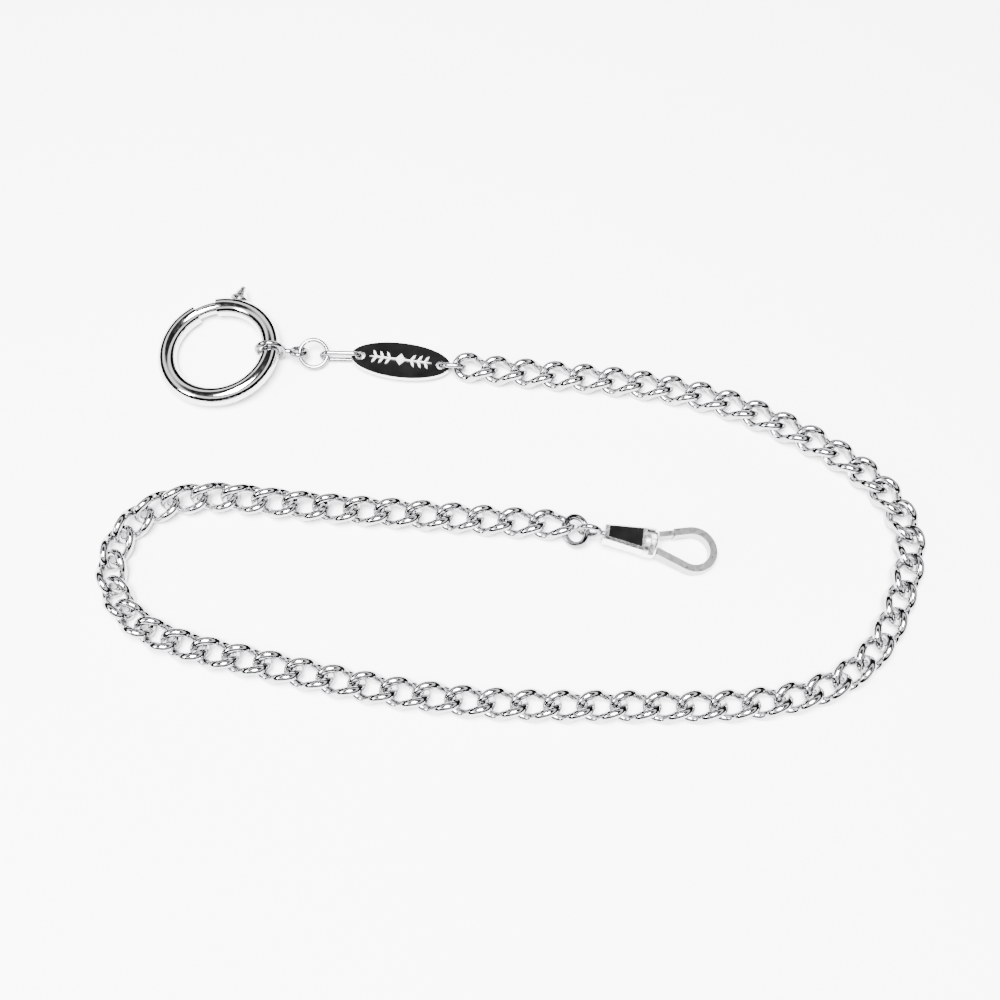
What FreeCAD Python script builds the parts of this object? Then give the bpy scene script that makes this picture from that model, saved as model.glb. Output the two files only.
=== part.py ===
"""Pocket watch chain: spring ring, figure-eight link, oval name plate, twisted curb chain
and swivel clasp, lying on a table in an S. Millimetres, +Z up, origin on the table under
the middle of the whole chain's box, +X along the strands."""
import FreeCAD, Part
import math
import os

import Sketcher
from FreeCAD import Placement, Rotation, Vector

doc = FreeCAD.newDocument("pocket_watch_chain")
X_AXIS = Vector(1, 0, 0)
Y_AXIS = Vector(0, 1, 0)
Z_AXIS = Vector(0, 0, 1)

# ---------------------------------------------------------------- driving dimensions
DIMENSIONS = {
    # spring ring
    "ring_radius": 9.95, "ring_tube": 3.5, "ring_bore": 2.5, "ring_tilt": 5.0,
    "gap_start": 97.0, "gap_end": 121.0, "slot_start": 41.0, "slot_end": 81.0,
    "slot_height": 1.3, "bolt_wire": 2.3, "bolt_start": 62.0, "bolt_end": 122.0,
    "knob_angle": 76.0, "knob_stem": 1.0, "knob_base": 3.4, "knob_top": 1.3,
    "knob_height": 2.3, "spring_coil": 1.9, "spring_wire": 0.22, "spring_turns": 14.0,
    "stop_start": 2.0, "stop_end": 5.0,
    # figure-eight link and jump rings
    "eight_big": 2.5, "eight_small": 1.35, "eight_wire": 1.0, "eight_reach": 5.3,
    "eight_tilt": -31.2, "round_radius": 2.6, "round_wire": 0.8, "ring_cut": 3.0,
    "clip_wire": 0.9, "left_clip": 8.08, "left_height": 3.5, "right_clip": 5.29,
    "right_height": 3.95,
    "end_radius": 2.5, "end_wire": 1.1,
    # oval plate
    "plate_length": 19.0, "plate_width": 7.6, "plate_thick": 0.9, "plate_rim": 0.12,
    "plate_hole": 1.9, "hole_inset": 1.75, "enamel_depth": 0.25, "ornament_thick": 0.3,
    # curb chain
    "link_pitch": 5.53, "link_inner": 5.83, "link_width": 5.5, "link_wire": 1.5,
    "link_twist": 50.0, "link_lean": 60.0, "link_count": 64.0, "link_crowding": 0.022,
    # swivel clasp
    "eye_radius": 1.75, "eye_neck": 0.75, "eye_wire": 1.0, "stem_wire": 0.9,
    "head_size": 1.5, "head_thick": 0.6, "head_place": 1.2,
    "body_length": 7.2, "body_narrow": 2.9, "body_wide": 4.6, "body_thick": 3.2,
    "body_bevel": 0.4, "body_rim": 0.1, "panel_start": 0.75, "panel_end": 0.45,
    "spigot_wire": 2.6, "spigot_length": 0.8, "collar_width": 2.4, "collar_size": 5.5,
    "collar_round": 0.85, "slot_place": 0.95, "slot_side": 0.35, "window_place": 0.8,
    "window_length": 1.0, "window_width": 3.6, "window_side": -3.1, "window_floor": 0.7,
    "hook_radius": 3.55, "hook_reach": 16.2, "hook_thick": 1.3, "hook_height": 1.8,
    "hook_root": 1.6, "nose_start": 12.4, "nose_gap": 0.15, "gate_thick": 1.0,
    "gate_height": 1.2, "pin_wire": 0.7, "pin_length": 3.2, "pin_place": 8.9,
    "leaf_thick": 0.14, "leaf_length": 1.2, "clasp_pitch": 8.5, "clearance": 0.1,
}

sheet = doc.addObject("Spreadsheet::Sheet", "dimensions")
for row, (alias, value) in enumerate(DIMENSIONS.items(), start=1):
    sheet.set("A%d" % row, alias)
    sheet.set("B%d" % row, "%g" % value)
    sheet.setAlias("B%d" % row, alias)
doc.recompute()


def dim(alias):
    return float(sheet.get(alias))


nodes = []


def node(thing, label, place=None):
    """Name one finished piece of the chain and put it in its place."""
    thing.Label = label
    if place is not None:
        thing.Placement = place
    nodes.append(thing)
    return thing


def bind(thing, **formulas):
    for prop, formula in formulas.items():
        thing.setExpression(prop, formula)
    return thing


def primitive(kind, name, place=None, **formulas):
    """A Part primitive whose sizes follow the sheet."""
    thing = doc.addObject("Part::" + kind, name)
    bind(thing, **formulas)
    if place is not None:
        thing.Placement = place
    return thing


def fuse(name, shapes):
    thing = doc.addObject("Part::MultiFuse", name)
    thing.Shapes = shapes
    return thing


def cut(name, base, tool):
    thing = doc.addObject("Part::Cut", name)
    thing.Base = base
    thing.Tool = tool
    return thing


def turned(axis, angle, place=Vector(0, 0, 0)):
    return Placement(place, Rotation(axis, angle))


ALONG_X = Rotation(Y_AXIS, 90)
ALONG_Y = Rotation(X_AXIS, -90)


# ---------------------------------------------------------------- sketches
def new_body(name):
    return doc.addObject("PartDesign::Body", name)


def plane_of(body, role):
    return [f for f in body.Origin.OriginFeatures if f.Role == role][0]


def new_sketch(body, name, role="XY_Plane", lift=0.0):
    sketch = body.newObject("Sketcher::SketchObject", name)
    sketch.AttachmentSupport = [(plane_of(body, role), "")]
    sketch.MapMode = "FlatFace"
    sketch.AttachmentOffset = Placement(Vector(0, 0, lift), Rotation())
    return sketch


def draw_polygon(sketch, corners):
    """Closed outline of straight edges, joined corner to corner."""
    count = len(corners)
    for i in range(count):
        start = Vector(corners[i][0], corners[i][1], 0)
        end = Vector(corners[(i + 1) % count][0], corners[(i + 1) % count][1], 0)
        sketch.addGeometry(Part.LineSegment(start, end), False)
    for i in range(count):
        sketch.addConstraint(Sketcher.Constraint("Coincident", i, 2, (i + 1) % count, 1))


def draw_ellipse(sketch, long_half, short_half):
    oval = Part.Ellipse(Vector(0, 0, 0), long_half, short_half)
    sketch.addGeometry(oval, False)


def pad(body, sketch, name, length, midplane=False):
    feature = body.newObject("PartDesign::Pad", name)
    feature.Profile = sketch
    bind(feature, Length=length)
    feature.Midplane = midplane
    return feature


def pocket(body, sketch, name, length=None):
    """A pocket that cuts down from the sketch, or right through both ways."""
    feature = body.newObject("PartDesign::Pocket", name)
    feature.Profile = sketch
    if length is None:
        feature.Type = "ThroughAll"
        feature.Midplane = True
    else:
        bind(feature, Length=length)
    return feature


# ---------------------------------------------------------------- spring ring
def make_spring_ring(place):
    """Hollow tube ring, the curved bolt inside it, its thumb knob, spring and stop."""
    tube = primitive("Torus", "ring_tube_solid", Radius1="dimensions.ring_radius",
                     Radius2="dimensions.ring_tube / 2",
                     Angle3="360 - dimensions.gap_end + dimensions.gap_start")
    tube.Placement = turned(Z_AXIS, dim("gap_end"))
    bore = primitive("Torus", "ring_tube_bore", Radius1="dimensions.ring_radius",
                     Radius2="dimensions.ring_bore / 2")
    hollow = cut("ring_hollow", tube, bore)
    sector = primitive("Cylinder", "slot_sector", Radius="dimensions.ring_radius + 3",
                       Height="dimensions.slot_height",
                       Angle="dimensions.slot_end - dimensions.slot_start")
    sector.Placement = turned(Z_AXIS, dim("slot_start"), Vector(0, 0, -dim("slot_height") / 2))
    core = primitive("Cylinder", "slot_core", Radius="dimensions.ring_radius",
                     Height="dimensions.slot_height + 1")
    core.Placement = turned(Z_AXIS, 0, Vector(0, 0, -dim("slot_height") / 2 - 0.5))
    slot = cut("knob_slot", sector, core)
    node(cut("ring_shell", hollow, slot), "ring_shell", place)

    rod = primitive("Torus", "bolt_rod", Radius1="dimensions.ring_radius",
                    Radius2="dimensions.bolt_wire / 2",
                    Angle3="dimensions.bolt_end - dimensions.bolt_start")
    rod.Placement = turned(Z_AXIS, dim("bolt_start"))
    tip = primitive("Sphere", "bolt_tip", Radius="dimensions.bolt_wire / 2")
    tip.Placement = Placement(on_ring(dim("bolt_end")), Rotation())
    outward = Rotation(Z_AXIS, dim("knob_angle")) * ALONG_X
    hole = primitive("Cylinder", "knob_hole", Radius="dimensions.knob_stem / 2", Height="3")
    hole.Placement = Placement(on_ring(dim("knob_angle")), outward)
    node(cut("ring_bolt", fuse("bolt_blank", [rod, tip]), hole), "ring_bolt", place)

    shank_length = dim("ring_tube") / 2 + 0.2
    shank = primitive("Cylinder", "knob_shank", Radius="dimensions.knob_stem / 2",
                      Height="dimensions.ring_tube / 2 + 0.2")
    head = primitive("Cone", "knob_head", Radius1="dimensions.knob_base / 2",
                     Radius2="dimensions.knob_top / 2", Height="dimensions.knob_height")
    head.Placement = Placement(Vector(0, 0, shank_length), Rotation())
    crown = primitive("Sphere", "knob_crown", Radius="dimensions.knob_top / 2")
    crown.Placement = Placement(Vector(0, 0, shank_length + dim("knob_height")), Rotation())
    knob = fuse("bolt_knob", [shank, head, crown])
    node(knob, "bolt_knob", place * Placement(on_ring(dim("knob_angle")), outward))

    spring = doc.addObject("Part::Feature", "bolt_spring")
    spring.Shape = curved_spring(dim("bolt_start") - 2, dim("stop_end") + 2)
    node(spring, "bolt_spring", place)

    stop = primitive("Torus", "spring_stop", Radius1="dimensions.ring_radius",
                     Radius2="dimensions.ring_bore / 2",
                     Angle3="dimensions.stop_end - dimensions.stop_start")
    node(stop, "spring_stop", place * turned(Z_AXIS, dim("stop_start")))


def on_ring(angle):
    """Centre of the ring's tube at this angle round the ring."""
    a = math.radians(angle)
    return Vector(dim("ring_radius") * math.cos(a), dim("ring_radius") * math.sin(a), 0)


def curved_spring(start, end):
    """A coil spring that follows the ring's tube from one angle to another."""
    turns = dim("spring_turns")
    coil = (dim("spring_coil") - dim("spring_wire")) / 2
    steps = int(turns * 12)
    points = []
    for i in range(steps + 1):
        part = i / steps
        around = math.radians(start + (end - start) * part)
        wound = 2 * math.pi * turns * part
        radius = dim("ring_radius") + coil * math.cos(wound)
        points.append(Vector(radius * math.cos(around), radius * math.sin(around),
                             coil * math.sin(wound)))
    curve = Part.BSplineCurve()
    curve.interpolate(points)
    path = Part.Wire(curve.toShape())
    profile = Part.makeCircle(dim("spring_wire") / 2, points[0],
                              curve.tangent(curve.FirstParameter)[0])
    return path.makePipeShell([Part.Wire(profile)], True, True)


# ---------------------------------------------------------------- connecting links
def wire_eye(name, radius, wire, place):
    """A closed round eye of wire, as two halves that meet on its own Y axis."""
    halves = []
    for side in (1, -1):
        half = primitive("Torus", "%s_%d" % (name, side > 0), Radius1="dimensions." + radius,
                         Radius2="dimensions.%s / 2" % wire, Angle3="180")
        half.Placement = place * turned(Z_AXIS, -90 * side)
        halves.append(half)
    return halves


def make_figure_eight(place):
    """A wire eight: the big eye round the ring's tube, the small one turned flat."""
    big = wire_eye("eight_big_eye", "eight_big", "eight_wire", turned(X_AXIS, 90))
    small = wire_eye("eight_small_eye", "eight_small", "eight_wire",
                     turned(X_AXIS, dim("eight_tilt"), Vector(dim("eight_reach"), 0, 0)))
    neck = primitive("Cylinder", "eight_neck", Radius="dimensions.eight_wire / 2",
                     Height="dimensions.eight_reach - dimensions.eight_big - "
                            "dimensions.eight_small")
    neck.Placement = Placement(Vector(dim("eight_big"), 0, 0), ALONG_X)
    node(fuse("figure_eight_link", big + small + [neck]), "figure_eight_link", place)


def make_cut_ring(name, radius, wire, place, cut_at):
    """A round jump ring with its ends almost closed, the cut at an angle from its own +X."""
    ring = primitive("Torus", name, Radius1="dimensions." + radius,
                     Radius2="dimensions.%s / 2" % wire, Angle3="360 - dimensions.ring_cut")
    node(ring, name, place * turned(Z_AXIS, cut_at + dim("ring_cut") / 2))


def make_clip(name, length, height, place):
    """An oval wire link of two half rounds and two straight runs, standing on edge before
    it is placed."""
    bend = (dim(height) - dim("clip_wire")) / 2
    run = dim(length) - dim(height)
    parts = []
    for side in (1, -1):
        half = primitive("Torus", "%s_end_%d" % (name, side > 0),
                         Radius1="(dimensions.%s - dimensions.clip_wire) / 2" % height,
                         Radius2="dimensions.clip_wire / 2", Angle3="180")
        half.Placement = Placement(Vector(side * run / 2, 0, 0), Rotation(Z_AXIS, -90 * side))
        bar = primitive("Cylinder", "%s_bar_%d" % (name, side > 0),
                        Radius="dimensions.clip_wire / 2",
                        Height="dimensions.%s - dimensions.%s" % (length, height))
        bar.Placement = Placement(Vector(-run / 2, side * bend, 0), ALONG_X)
        parts += [half, bar]
    node(fuse(name, parts), name, place * turned(X_AXIS, 90))


# ---------------------------------------------------------------- oval plate
def make_plate(place):
    """Oval plate with an eye hole near each end, a shallow enamel bed and a leaf ornament."""
    long_half = dim("plate_length") / 2
    short_half = dim("plate_width") / 2
    bed_long = long_half - dim("plate_rim")
    bed_short = short_half - dim("plate_rim")
    hole_at = long_half - dim("hole_inset")

    def pierce(body):
        sketch = new_sketch(body, body.Name + "_hole_sketch")
        for side in (1, -1):
            circle = Part.Circle(Vector(side * hole_at, 0, 0), Z_AXIS, dim("plate_hole") / 2)
            sketch.addGeometry(circle, False)
        pocket(body, sketch, body.Name + "_holes")

    plate = new_body("oval_plate")
    outline = new_sketch(plate, "plate_outline")
    draw_ellipse(outline, long_half, short_half)
    pad(plate, outline, "plate_pad", "dimensions.plate_thick")
    bed = new_sketch(plate, "enamel_bed_sketch", lift=dim("plate_thick"))
    draw_ellipse(bed, bed_long, bed_short)
    pocket(plate, bed, "enamel_bed", "dimensions.enamel_depth")
    pierce(plate)
    node(plate, "oval_plate", place)

    enamel = new_body("plate_enamel")
    face = new_sketch(enamel, "enamel_outline", lift=dim("plate_thick") - dim("enamel_depth"))
    draw_ellipse(face, bed_long, bed_short)
    pad(enamel, face, "enamel_pad", "dimensions.enamel_depth")
    pierce(enamel)
    node(enamel, "plate_enamel", place)

    ornament = new_body("plate_ornament")
    motif = new_sketch(ornament, "leaf_sketch", lift=dim("plate_thick"))
    draw_leaf_spray(motif)
    pad(ornament, motif, "leaf_pad", "dimensions.ornament_thick")
    node(ornament, "plate_ornament", place)


def draw_leaf_spray(sketch):
    """A plain lozenge on a stem with three pairs of pointed leaves each way, one outline."""
    stem_half = 0.16
    lozenge = (1.0, 1.25)
    leaf_at = (1.9, 3.2, 4.5)
    leaf_long = 1.35
    leaf_wide = 0.34
    tip_at = 6.0
    upper = [(lozenge[0] * 0.86, lozenge[1] * 0.14)]
    for start in leaf_at:
        upper.append((start, stem_half))
        upper.append((start + 0.28 * leaf_long, stem_half + 0.62 * leaf_long))
        upper.append((start + 0.62 * leaf_long, stem_half + leaf_long * 0.86))
        upper.append((start + 0.28 * leaf_long + leaf_wide, stem_half + 0.34 * leaf_long))
        upper.append((start + leaf_wide, stem_half))
    right_up = upper + [(tip_at, 0.0)]
    right_down = [(x, -y) for x, y in reversed(upper)]
    right = right_up + right_down
    left = [(-x, -y) for x, y in right]
    outline = [(0.0, lozenge[1])] + right + [(0.0, -lozenge[1])] + left
    draw_polygon(sketch, outline)


# ---------------------------------------------------------------- curb chain
# The route of the chain's middle over the table: x, y and how far the links roll on
# edge, in millimetres and degrees, from the plate's end to the clasp's end.
ROUTE = [
    (-6.9, 25.2, 0), (15.7, 22.7, 0), (37.2, 18.4, 0), (52.5, 11.2, 0), (61.9, 4.6, 0),
    (68.2, -3.2, 0), (69.9, -10.6, 0), (67.2, -20.2, 0), (62.0, -29.6, 0), (53.7, -36.2, 0),
    (42.8, -39.3, 0), (20.5, -40.1, 0), (-1.9, -39.7, 0), (-24.0, -36.9, 0),
    (-45.4, -32.2, -4), (-57.0, -29.2, -10), (-66.0, -24.0, -4), (-70.0, -14.6, 16),
    (-65.8, -5.8, 31), (-56.0, -2.1, 33), (-44.0, -2.8, 26), (-33.0, -4.0, 18),
    (-15.0, -5.4, 7), (5.2, -7.0, 0), (9.0, -7.2, 0),
]
BENDS = (range(14, 20), range(44, 52))     # links that get a node of their own


def biarc(start, start_way, end, end_way):
    """Two arcs that leave start along start_way and reach end along end_way."""
    across = end - start
    ways = start_way + end_way
    square = 2 * (1 - start_way.dot(end_way))
    along = across.dot(ways)
    reach = (math.sqrt(along * along + square * across.dot(across)) - along) / square
    first = start + start_way * reach
    last = end - end_way * reach
    middle = (first + last) * 0.5
    return [(start, first, middle), (middle, last, end)]


def arc_of_wire(start, corner, end, wire):
    """A round wire bent along the arc that touches start-corner and corner-end."""
    way = (corner - start).normalize()
    onward = (end - corner).normalize()
    turn = way.getAngle(onward)
    axis = way.cross(onward).normalize()
    inward = axis.cross(way)
    radius = (corner - start).Length / math.tan(turn / 2)
    disc = Part.Face(Part.Wire(Part.makeCircle(wire / 2, start, way)))
    return disc.revolve(start + inward * radius, axis, math.degrees(turn))


def curb_link_shape():
    """One twisted curb link about its own centre, long axis along X, as a closed wire of
    eight tangent arcs. Each end is turned by the twist, one each way, so that neighbours
    cross, and each side leans as it passes the middle."""
    half_long = (dim("link_inner") + dim("link_wire")) / 2
    half_wide = (dim("link_width") - dim("link_wire")) / 2
    twist = math.radians(dim("link_twist"))
    lean = math.radians(dim("link_lean"))
    end = Vector(half_long, 0, 0)
    end_way = Vector(0, math.cos(twist), -math.sin(twist))
    side = Vector(0, half_wide, 0)
    side_way = Vector(-math.cos(lean), 0, math.sin(lean))
    quarter = biarc(end, end_way, side, side_way)
    arcs = [arc_of_wire(a, b, c, dim("link_wire")) for a, b, c in quarter]
    half = arcs + [turned_copy(arc, Y_AXIS) for arc in arcs]
    whole = half + [turned_copy(arc, X_AXIS) for arc in half]
    return whole[0].multiFuse(whole[1:])


def turned_copy(shape, axis):
    copy = shape.copy()
    copy.rotate(Vector(0, 0, 0), axis, 180)
    return copy


def route_places(link):
    """Placements of all links along a smooth curve through ROUTE: one pitch apart, and a
    little closer where the chain turns, each rolled as the route says and lifted until its
    lowest point is on the table."""
    line = Part.BSplineCurve()
    line.interpolate([Vector(x, y, 0) for x, y, roll in ROUTE])
    roll_line = Part.BSplineCurve()
    roll_line.interpolate([Vector(x, y, roll) for x, y, roll in ROUTE],
                          Parameters=list(line.getKnots()))
    places = []
    distance = 0.0
    for _ in range(int(dim("link_count"))):
        along = line.parameterAtDistance(distance, line.FirstParameter)
        ahead = line.parameterAtDistance(distance + dim("link_pitch"), line.FirstParameter)
        spot = line.value(along)
        way = line.tangent(along)[0]
        turn = math.degrees(way.getAngle(line.tangent(ahead)[0]))
        distance += dim("link_pitch") - dim("link_crowding") * turn
        yaw = math.degrees(math.atan2(way.y, way.x))
        roll = roll_line.value(along).z
        lie = Rotation(Z_AXIS, yaw) * Rotation(X_AXIS, roll)
        trial = link.copy()
        trial.Placement = Placement(Vector(0, 0, 0), lie)
        lowest = trial.optimalBoundingBox(False).ZMin
        places.append(Placement(Vector(spot.x, spot.y, -lowest), lie))
    return places


def link_groups():
    """Numbers of the links in each node: one in the bends, two where the chain is straight."""
    groups = []
    i = 0
    while i < int(dim("link_count")):
        single = any(i in bend for bend in BENDS)
        groups.append([i] if single else [i, i + 1])
        i += len(groups[-1])
    return groups


def make_curb_chain(link, places):
    for group in link_groups():
        label = "curb_link_" + "_".join("%02d" % (i + 1) for i in group)
        solids = []
        for i in group:
            solid = link.copy()
            solid.Placement = places[i]
            solids.append(solid)
        thing = doc.addObject("Part::Feature", label)
        thing.Shape = solids[0] if len(solids) == 1 else Part.makeCompound(solids)
        node(thing, label)


# ---------------------------------------------------------------- swivel clasp
def make_eye(place):
    """Swivel eye: a wire eye, its stem and the riveted head that turns inside the body."""
    centre = Vector(-dim("eye_neck") - dim("eye_radius"), 0, 0)
    eye = wire_eye("eye_loop", "eye_radius", "eye_wire", turned(X_AXIS, 90, centre))
    stem = primitive("Cylinder", "eye_stem", Radius="dimensions.stem_wire / 2",
                     Height="dimensions.eye_neck + dimensions.head_place + dimensions.head_thick")
    stem.Placement = Placement(Vector(-dim("eye_neck"), 0, 0), ALONG_X)
    head = primitive("Cylinder", "eye_head", Radius="dimensions.head_size / 2",
                     Height="dimensions.head_thick")
    head.Placement = Placement(Vector(dim("head_place"), 0, 0), ALONG_X)
    node(fuse("swivel_eye", eye + [stem, head]), "swivel_eye", place)


def wedge(x_start, x_end, half_start, half_end):
    """Top view corners of the body's taper between two stations."""
    return [(x_start, -half_start), (x_end, -half_end), (x_end, half_end), (x_start, half_start)]


def taper_half(x):
    """Half width of the clasp body at a station along it."""
    narrow = dim("body_narrow") / 2
    wide = dim("body_wide") / 2
    return narrow + (wide - narrow) * x / dim("body_length")


def make_clasp_body(place):
    """Tapered body with bevelled long edges, an enamel panel on its face, a chamber for the
    swivel's head and a spigot for the collar."""
    length = dim("body_length")
    inset = dim("body_bevel") + dim("body_rim")
    panel = (dim("panel_start"), length - dim("panel_end"))
    block = new_body("clasp_block")
    outline = new_sketch(block, "clasp_outline")
    draw_polygon(outline, wedge(0, length, taper_half(0), taper_half(length)))
    solid = pad(block, outline, "clasp_pad", "dimensions.body_thick", midplane=True)
    doc.recompute()
    long_edges = long_edge_names(solid.Shape, length)
    bevel = block.newObject("PartDesign::Chamfer", "clasp_bevel")
    bevel.Base = (solid, long_edges)
    bind(bevel, Size="dimensions.body_bevel")
    face = new_sketch(block, "panel_bed_sketch", lift=dim("body_thick") / 2)
    corners = wedge(panel[0], panel[1], taper_half(panel[0]) - inset,
                    taper_half(panel[1]) - inset)
    draw_polygon(face, corners)
    pocket(block, face, "panel_bed", "dimensions.enamel_depth")

    chamber = primitive("Cylinder", "head_chamber",
                        Radius="dimensions.head_size / 2 + dimensions.clearance",
                        Height="dimensions.head_thick + 2 * dimensions.clearance")
    chamber.Placement = Placement(Vector(dim("head_place") - dim("clearance"), 0, 0), ALONG_X)
    throat = primitive("Cylinder", "stem_throat",
                       Radius="dimensions.stem_wire / 2 + 0.06",
                       Height="dimensions.head_place + 0.5")
    throat.Placement = Placement(Vector(-0.5, 0, 0), ALONG_X)
    bored = cut("clasp_bored", block, fuse("swivel_bore", [chamber, throat]))
    spigot = primitive("Cylinder", "collar_spigot", Radius="dimensions.spigot_wire / 2",
                       Height="dimensions.spigot_length")
    spigot.Placement = Placement(Vector(length, 0, 0), ALONG_X)
    node(fuse("clasp_body", [bored, spigot]), "clasp_body", place)

    enamel = new_body("clasp_enamel")
    sketch = new_sketch(enamel, "panel_sketch", lift=dim("body_thick") / 2 - dim("enamel_depth"))
    draw_polygon(sketch, corners)
    pad(enamel, sketch, "panel_pad", "dimensions.enamel_depth")
    node(enamel, "clasp_enamel", place)


def long_edge_names(shape, length):
    """The four edges that run along the body from end to end."""
    names = []
    for number, edge in enumerate(shape.Edges, start=1):
        if abs(edge.BoundBox.XLength - length) < 0.01:
            names.append("Edge%d" % number)
    return names


def make_collar(place):
    """Round bead that joins body and hook, slotted for the gate and bored for its pin."""
    start = dim("body_length")
    width = dim("collar_width")
    size = dim("collar_size")
    drum = primitive("Cylinder", "collar_drum", Radius="dimensions.collar_size / 2",
                     Height="dimensions.collar_width")
    drum.Placement = Placement(Vector(start, 0, 0), ALONG_X)
    bead = doc.addObject("Part::Fillet", "collar_bead")
    bead.Base = drum
    round_off = dim("collar_round")
    bead.Edges = [(1, round_off, round_off), (3, round_off, round_off)]
    bore = primitive("Cylinder", "collar_bore", Radius="dimensions.spigot_wire / 2",
                     Height="dimensions.spigot_length")
    bore.Placement = Placement(Vector(start, 0, 0), ALONG_X)
    slot = primitive("Box", "gate_slot", Length="dimensions.collar_size / 2",
                     Width="dimensions.collar_size / 2",
                     Height="dimensions.gate_height + 2 * dimensions.clearance")
    slot_floor = -dim("gate_height") / 2 - dim("clearance")
    slot.Placement = Placement(Vector(start + dim("slot_place"), dim("slot_side"), slot_floor),
                               Rotation())
    pin_hole = primitive("Cylinder", "pin_hole", Radius="dimensions.pin_wire / 2",
                         Height="dimensions.collar_size")
    pin_hole.Placement = Placement(hook_side(0, dim("pin_place")) - Z_AXIS * (size / 2),
                                   Rotation())
    window = primitive("Box", "collar_window", Length="dimensions.window_length",
                       Width="dimensions.window_width", Height="dimensions.collar_size / 2")
    corner = Vector(start + dim("window_place"), dim("window_side"), dim("window_floor"))
    window.Placement = Placement(corner, Rotation())
    tools = fuse("collar_tools", [bore, slot, pin_hole, window])
    node(cut("clasp_collar", bead, tools), "clasp_collar", place)


def hook_touch():
    """Angle from the axis at which the hook's straight sides touch its round end."""
    run = dim("hook_reach") - dim("body_length") - dim("collar_width")
    reach = math.hypot(run, dim("hook_root"))
    lean = math.atan2(dim("hook_root"), run)
    return math.pi - lean - math.acos(dim("hook_radius") / reach)


def hook_side(offset, x=None, square=False):
    """Point on the hook's upper straight side, offset outwards from its middle line: where
    the side touches the round end, or at station x along the clasp, measured on the middle
    line if the side is cut off square."""
    touch = hook_touch()
    outward = Vector(math.cos(touch), math.sin(touch), 0)
    along = Vector(math.sin(touch), -math.cos(touch), 0)
    spot = Vector(dim("hook_reach"), 0, 0) + outward * dim("hook_radius")
    if x is None:
        return spot + outward * offset
    if square:
        return spot + along * ((x - spot.x) / along.x) + outward * offset
    edge = spot + outward * offset
    return edge + along * ((x - edge.x) / along.x)


def mirrored(point):
    return Vector(point.x, -point.y, 0)


def make_hook(place):
    """Teardrop hook: a bar from the collar, round the far end and back to its nose."""
    half = dim("hook_thick") / 2
    root = dim("body_length") + dim("collar_width")
    nose = dim("nose_start")

    def rim(offset):
        end = Vector(dim("hook_reach") + dim("hook_radius") + offset, 0, 0)
        return Part.Arc(mirrored(hook_side(offset)), end, hook_side(offset))

    body = new_body("clasp_hook")
    sketch = new_sketch(body, "hook_sketch")
    outline = [
        Part.LineSegment(mirrored(hook_side(half, root)), mirrored(hook_side(half))),
        rim(half),
        Part.LineSegment(hook_side(half), hook_side(half, nose, True)),
        Part.LineSegment(hook_side(half, nose, True), hook_side(-half, nose, True)),
        Part.LineSegment(hook_side(-half, nose, True), hook_side(-half)),
        rim(-half),
        Part.LineSegment(mirrored(hook_side(-half)), mirrored(hook_side(-half, root))),
        Part.LineSegment(mirrored(hook_side(-half, root)), mirrored(hook_side(half, root))),
    ]
    for piece in outline:
        sketch.addGeometry(piece, False)
    pad(body, sketch, "hook_pad", "dimensions.hook_height", midplane=True)
    node(body, "clasp_hook", place)


def make_gate(place):
    """Short sprung gate from the collar to the hook's nose, its pin and its leaf spring."""
    half = dim("gate_thick") / 2
    pin = hook_side(0, dim("pin_place"))
    tip = dim("nose_start") - dim("nose_gap")
    below = Z_AXIS * (dim("gate_height") / -2)
    body = new_body("gate_blank")
    sketch = new_sketch(body, "gate_sketch")
    corners = [hook_side(side * half, x, True) for side, x in
               ((-1, pin.x), (-1, tip), (1, tip), (1, pin.x))]
    draw_polygon(sketch, [(corner.x, corner.y) for corner in corners])
    pad(body, sketch, "gate_pad", "dimensions.gate_height", midplane=True)
    eye = primitive("Cylinder", "gate_eye", Radius="dimensions.gate_thick / 2",
                    Height="dimensions.gate_height")
    eye.Placement = Placement(pin + below, Rotation())
    hole = primitive("Cylinder", "gate_hole", Radius="dimensions.pin_wire / 2 + 0.05",
                     Height="dimensions.gate_height + 1")
    hole.Placement = Placement(pin + below - Z_AXIS * 0.5, Rotation())
    node(cut("clasp_gate", fuse("gate_arm", [body, eye]), hole), "clasp_gate", place)

    rod = primitive("Cylinder", "gate_pin", Radius="dimensions.pin_wire / 2",
                    Height="dimensions.pin_length")
    foot = pin - Z_AXIS * (dim("pin_length") / 2)
    node(rod, "gate_pin", place * Placement(foot, Rotation()))

    leaf = primitive("Box", "gate_spring", Length="dimensions.leaf_length",
                     Width="dimensions.leaf_thick", Height="dimensions.gate_height")
    seat = Vector(dim("body_length") + dim("slot_place") + 0.05, dim("slot_side"), 0)
    node(leaf, "gate_spring", place * Placement(seat + below, Rotation()))


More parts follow.
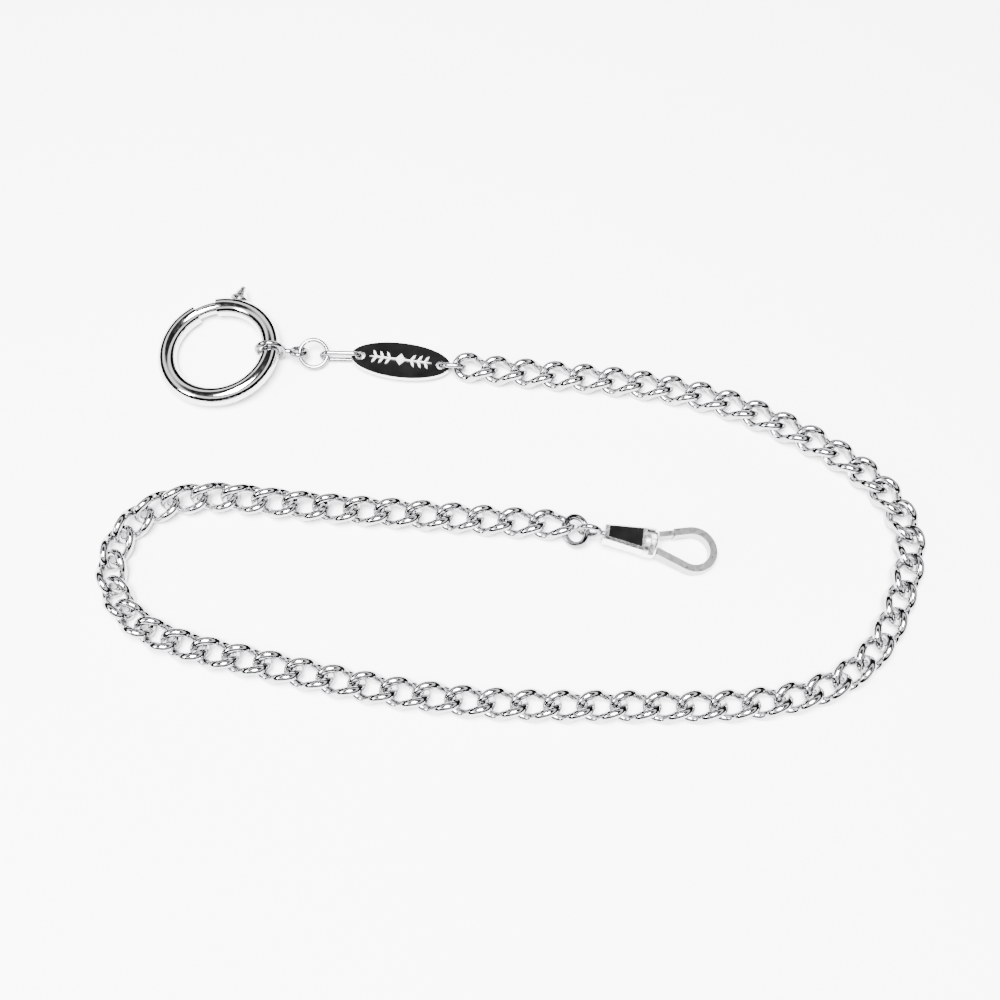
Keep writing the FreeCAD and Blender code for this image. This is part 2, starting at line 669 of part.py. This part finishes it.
# ---------------------------------------------------------------- assembly
def build():
    ring_radius = dim("ring_radius")
    tilt = math.radians(dim("ring_tilt"))
    ring_lift = ring_radius * math.sin(tilt) + dim("ring_tube") / 2
    ring_place = turned(Y_AXIS, -dim("ring_tilt"), Vector(-55.4, 28.6, ring_lift))
    make_spring_ring(ring_place)

    eight_lie = Rotation(Z_AXIS, -0.25) * Rotation(Y_AXIS, 6.6)
    make_figure_eight(Placement(ring_place.multVec(on_ring(-2)), eight_lie))
    round_lie = Rotation(Y_AXIS, 9.45) * Rotation(X_AXIS, 28)
    make_cut_ring("round_jump_ring", "round_radius", "round_wire",
                  Placement(Vector(-37.48, 28.14, 2.41), round_lie), 125)
    left_lie = Rotation(Z_AXIS, -1.4) * Rotation(X_AXIS, 3.3)
    make_clip("left_plate_link", "left_clip", "left_height",
              Placement(Vector(-32.39, 27.9, 1.8), left_lie))
    make_plate(turned(Z_AXIS, -8, Vector(-21.0, 26.8, 1.37)))
    right_lie = Rotation(Z_AXIS, -3.3) * Rotation(X_AXIS, 22.4)
    make_clip("right_plate_link", "right_clip", "right_height",
              Placement(Vector(-11.18, 25.6, 1.87), right_lie))

    link = curb_link_shape()
    make_curb_chain(link, route_places(link))

    end_lie = Rotation(Z_AXIS, 4.5) * Rotation(Y_AXIS, -45.3) * Rotation(X_AXIS, 20.95)
    make_cut_ring("end_jump_ring", "end_radius", "end_wire",
                  Placement(Vector(11.09, -8.57, 2.74), end_lie), 80)
    clasp_lie = Rotation(Z_AXIS, -8.5) * Rotation(Y_AXIS, dim("clasp_pitch"))
    clasp_place = Placement(Vector(15.9, -9.61, 3.99), clasp_lie)
    make_eye(clasp_place)
    make_clasp_body(clasp_place)
    make_collar(clasp_place)
    make_hook(clasp_place)
    make_gate(clasp_place)


def check_and_write():
    doc.recompute()
    for thing in doc.Objects:
        bad = [word for word in thing.State if word in ("Invalid", "Error")]
        if bad:
            raise RuntimeError("%s is %s" % (thing.Label, ", ".join(bad)))
    os.makedirs("parts", exist_ok=True)
    box = FreeCAD.BoundBox()
    for thing in nodes:
        shape = thing.Shape
        if shape.isNull() or not shape.isValid():
            raise RuntimeError("%s has no valid shape" % thing.Label)
        shape.exportStep(os.path.join("parts", thing.Label + ".step"))
        box.add(shape.optimalBoundingBox(False))
        print("%-20s %2d solid(s) %8.2f mm3" % (thing.Label, len(shape.Solids), shape.Volume))
    print("box %.1f x %.1f x %.1f mm, centre %.2f, %.2f, floor %.2f"
          % (box.XLength, box.YLength, box.ZLength, box.Center.x, box.Center.y, box.ZMin))


build()
check_and_write()
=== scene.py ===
"""Pocket watch chain: materials, camera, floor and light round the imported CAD."""
import math

import bpy
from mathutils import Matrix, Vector

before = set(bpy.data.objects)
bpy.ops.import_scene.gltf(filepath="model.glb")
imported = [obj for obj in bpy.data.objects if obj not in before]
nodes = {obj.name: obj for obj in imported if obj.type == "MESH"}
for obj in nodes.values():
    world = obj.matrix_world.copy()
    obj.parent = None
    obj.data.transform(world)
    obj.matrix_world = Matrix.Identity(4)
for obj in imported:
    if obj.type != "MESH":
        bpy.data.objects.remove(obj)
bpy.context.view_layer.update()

scene = bpy.context.scene
MM = 0.001


# ---------------------------------------------------------------- materials
def new_material(name):
    material = bpy.data.materials.new(name)
    material.use_nodes = True
    shader = material.node_tree.nodes["Principled BSDF"]
    return material, material.node_tree, shader


def noise(tree, scale, detail=3.0, roughness=0.55, stretch=(1, 1, 1)):
    """Noise in the object's own metres, so that its grain keeps its real size."""
    where = tree.nodes.new("ShaderNodeTexCoord")
    mapping = tree.nodes.new("ShaderNodeMapping")
    mapping.inputs["Scale"].default_value = stretch
    texture = tree.nodes.new("ShaderNodeTexNoise")
    texture.inputs["Scale"].default_value = scale
    texture.inputs["Detail"].default_value = detail
    texture.inputs["Roughness"].default_value = roughness
    tree.links.new(where.outputs["Object"], mapping.inputs["Vector"])
    tree.links.new(mapping.outputs["Vector"], texture.inputs["Vector"])
    return texture.outputs["Fac"]


def ramp(tree, value, stops):
    node = tree.nodes.new("ShaderNodeValToRGB")
    tree.links.new(value, node.inputs["Fac"])
    bar = node.color_ramp
    while len(bar.elements) < len(stops):
        bar.elements.new(0.5)
    for element, (place, colour) in zip(bar.elements, stops):
        element.position = place
        element.color = (*colour, 1.0)
    return node.outputs["Color"]


def bump(tree, shader, height, strength, distance):
    node = tree.nodes.new("ShaderNodeBump")
    node.inputs["Strength"].default_value = strength
    node.inputs["Distance"].default_value = distance
    tree.links.new(height, node.inputs["Height"])
    tree.links.new(node.outputs["Normal"], shader.inputs["Normal"])


def grey(level):
    return (level, level, level)


def polished_metal(name, tone, rough_low, rough_high, waves):
    """Plated and polished wire: mirror bright, with faint handling marks and cloudier spots."""
    material, tree, shader = new_material(name)
    shader.inputs["Metallic"].default_value = 1.0
    dark = tuple(c * 0.86 for c in tone)
    blotches = noise(tree, 420.0, detail=4.0)
    colour = ramp(tree, blotches, [(0.30, dark), (0.52, tone), (1.0, tone)])
    tree.links.new(colour, shader.inputs["Base Color"])
    scuffs = noise(tree, 1500.0, detail=5.0, roughness=0.7)
    rough = ramp(tree, scuffs, [(0.35, grey(rough_low)), (0.75, grey(rough_high))])
    tree.links.new(rough, shader.inputs["Roughness"])
    bump(tree, shader, noise(tree, 900.0, detail=2.0), waves, 0.00002)
    return material


def black_enamel():
    """Poured gloss enamel: near black, with a slight orange-peel surface."""
    material, tree, shader = new_material("black_enamel_gloss")
    shader.inputs["Specular IOR Level"].default_value = 0.08
    depth = noise(tree, 300.0, detail=2.0)
    colour = ramp(tree, depth, [(0.3, grey(0.002)), (0.8, grey(0.005))])
    tree.links.new(colour, shader.inputs["Base Color"])
    specks = noise(tree, 2200.0, detail=4.0)
    rough = ramp(tree, specks, [(0.4, grey(0.10)), (0.8, grey(0.22))])
    tree.links.new(rough, shader.inputs["Roughness"])
    bump(tree, shader, noise(tree, 700.0, detail=1.0), 0.15, 0.00002)
    return material


def dress(thing, material):
    thing.data.materials.clear()
    thing.data.materials.append(material)


chrome = polished_metal("polished_plate", (0.60, 0.60, 0.61), 0.05, 0.16, 0.10)
curb_wire = polished_metal("polished_curb_wire", (0.44, 0.44, 0.45), 0.06, 0.20, 0.15)
# painted shade: the fine wire parts get a much darker tone than the same plated metal
# elsewhere, so they read darker
fine_wire_painted_shade = polished_metal("polished_fine_wire_painted_shade", (0.24, 0.24, 0.25), 0.08, 0.22, 0.15)
satin = polished_metal("satin_ornament", (0.92, 0.92, 0.92), 0.42, 0.55, 0.10)
strip = polished_metal("drawn_hook_strip", (0.36, 0.36, 0.37), 0.26, 0.42, 0.25)
# real satin buffing in the roughness, plus painted light: a brighter tone than the same plated
# metal elsewhere, so the clasp reads brighter
buffed_painted_light = polished_metal("buffed_clasp_painted_light", (0.78, 0.78, 0.79), 0.20, 0.34, 0.12)
spring_steel = polished_metal("spring_wire", (0.55, 0.55, 0.57), 0.22, 0.38, 0.2)
enamel = black_enamel()

FINISHES = (
    (enamel, ("plate_enamel", "clasp_enamel")),
    (spring_steel, ("bolt_spring", "gate_spring")),
    (satin, ("plate_ornament",)),
    (buffed_painted_light, ("clasp_body", "clasp_collar", "gate_pin", "bolt_knob")),
    (strip, ("clasp_hook", "clasp_gate")),
    (fine_wire_painted_shade, ("figure_eight_link", "round_jump_ring", "left_plate_link", "right_plate_link",
                 "end_jump_ring", "swivel_eye")),
)
finish_of = {name: finish for finish, names in FINISHES for name in names}
for name, thing in nodes.items():
    bare_metal = curb_wire if name.startswith("curb_link") else chrome
    dress(thing, finish_of.get(name, bare_metal))


# ---------------------------------------------------------------- floor, light, camera
FLOOR_HALF = 1.5            # metres from the middle to an edge
FLOOR_TONE = (0.97, 0.97, 0.97, 1)
WORLD_LIGHT = 2.2
CAMERA_TILT = 25            # degrees from straight down
CAMERA_PLACE = (-2.2, -95.0, 200.9)


def make_floor():
    half = FLOOR_HALF
    mesh = bpy.data.meshes.new("floor")
    mesh.from_pydata([(-half, -half, 0), (half, -half, 0), (half, half, 0), (-half, half, 0)],
                     [], [(0, 1, 2, 3)])
    floor = bpy.data.objects.new("floor", mesh)
    scene.collection.objects.link(floor)
    material, _, shader = new_material("floor_paper")
    shader.inputs["Base Color"].default_value = FLOOR_TONE
    shader.inputs["Roughness"].default_value = 0.8
    dress(floor, material)


def area_light(name, place, target, size, power):
    light = bpy.data.lights.new(name, "AREA")
    light.shape = "SQUARE"
    light.size = size
    light.energy = power
    thing = bpy.data.objects.new(name, light)
    thing.location = place
    thing.rotation_euler = (Vector(target) - Vector(place)).to_track_quat("-Z", "Y").to_euler()
    scene.collection.objects.link(thing)


def make_world():
    """A soft studio: a dark room with a white band of tent wall round the table."""
    world = bpy.data.worlds.new("studio")
    scene.world = world
    world.use_nodes = True
    tree = world.node_tree
    where = tree.nodes.new("ShaderNodeTexCoord")
    split = tree.nodes.new("ShaderNodeSeparateXYZ")
    tree.links.new(where.outputs["Generated"], split.inputs["Vector"])
    walls = ramp(tree, split.outputs["Z"],
                 [(0.0, grey(0.0)), (0.52, grey(0.0)), (0.58, grey(1.0)), (0.74, grey(1.0)),
                  (0.80, grey(0.01)), (1.0, grey(0.01))])
    background = tree.nodes["Background"]
    tree.links.new(walls, background.inputs["Color"])
    background.inputs["Strength"].default_value = WORLD_LIGHT


def make_camera():
    camera = bpy.data.cameras.new("camera")
    camera.sensor_width = 36.0
    camera.lens = 44.1
    camera.clip_start = 0.01
    thing = bpy.data.objects.new("camera", camera)
    thing.location = Vector(CAMERA_PLACE) * MM
    thing.rotation_euler = (math.radians(CAMERA_TILT), 0, 0)
    scene.collection.objects.link(thing)
    scene.camera = thing


make_floor()
make_world()
area_light("overhead", (-0.05, -0.12, 0.60), (0, 0, 0), 0.32, 35.0)
area_light("side", (-0.45, -0.15, 0.30), (0, 0, 0), 0.15, 3.0)
make_camera()
